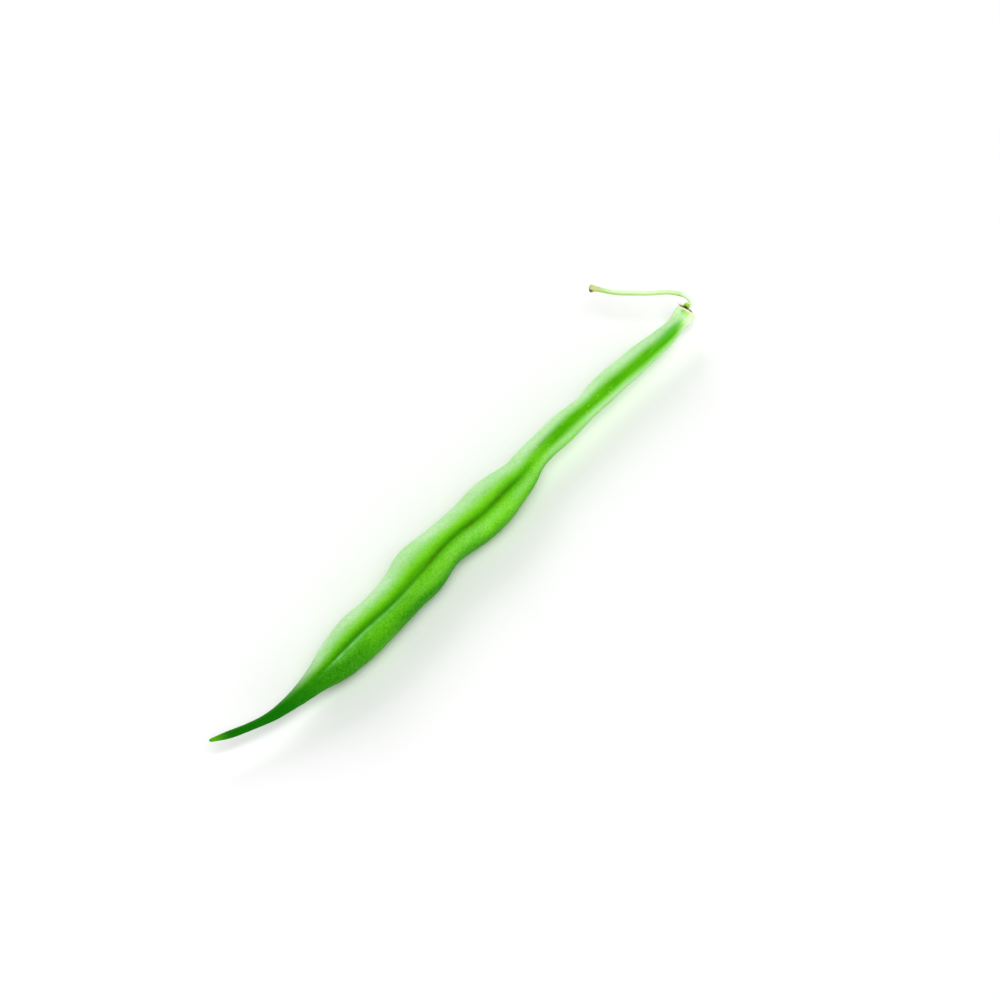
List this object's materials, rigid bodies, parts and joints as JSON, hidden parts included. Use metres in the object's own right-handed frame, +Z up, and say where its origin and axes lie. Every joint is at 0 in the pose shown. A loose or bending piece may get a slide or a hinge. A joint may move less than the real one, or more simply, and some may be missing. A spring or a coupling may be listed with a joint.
{
  "type": "green bean",
  "caption": "Whole picked green bean lying on its side: slim seed-swollen pod with a grooved suture, curved beak, dried calyx and hooked thin stalk.",
  "frame": {"origin": "on the surface that the bean lies on, under the middle of its bounding box", "axes": "+X along the pod towards the stalk end, -X towards the beak, +Z up; the grooved ventral suture faces up and towards -Y"},
  "size_m": [0.1321, 0.024, 0.0092],
  "materials": {
    "pod_skin": "satin",
    "dried_calyx": "matte",
    "stalk_skin": "satin"
  },
  "bodies": {
    "root": {"pod": "pod_skin", "calyx": "dried_calyx", "stalk": "stalk_skin"}
  },
  "joints": []
}
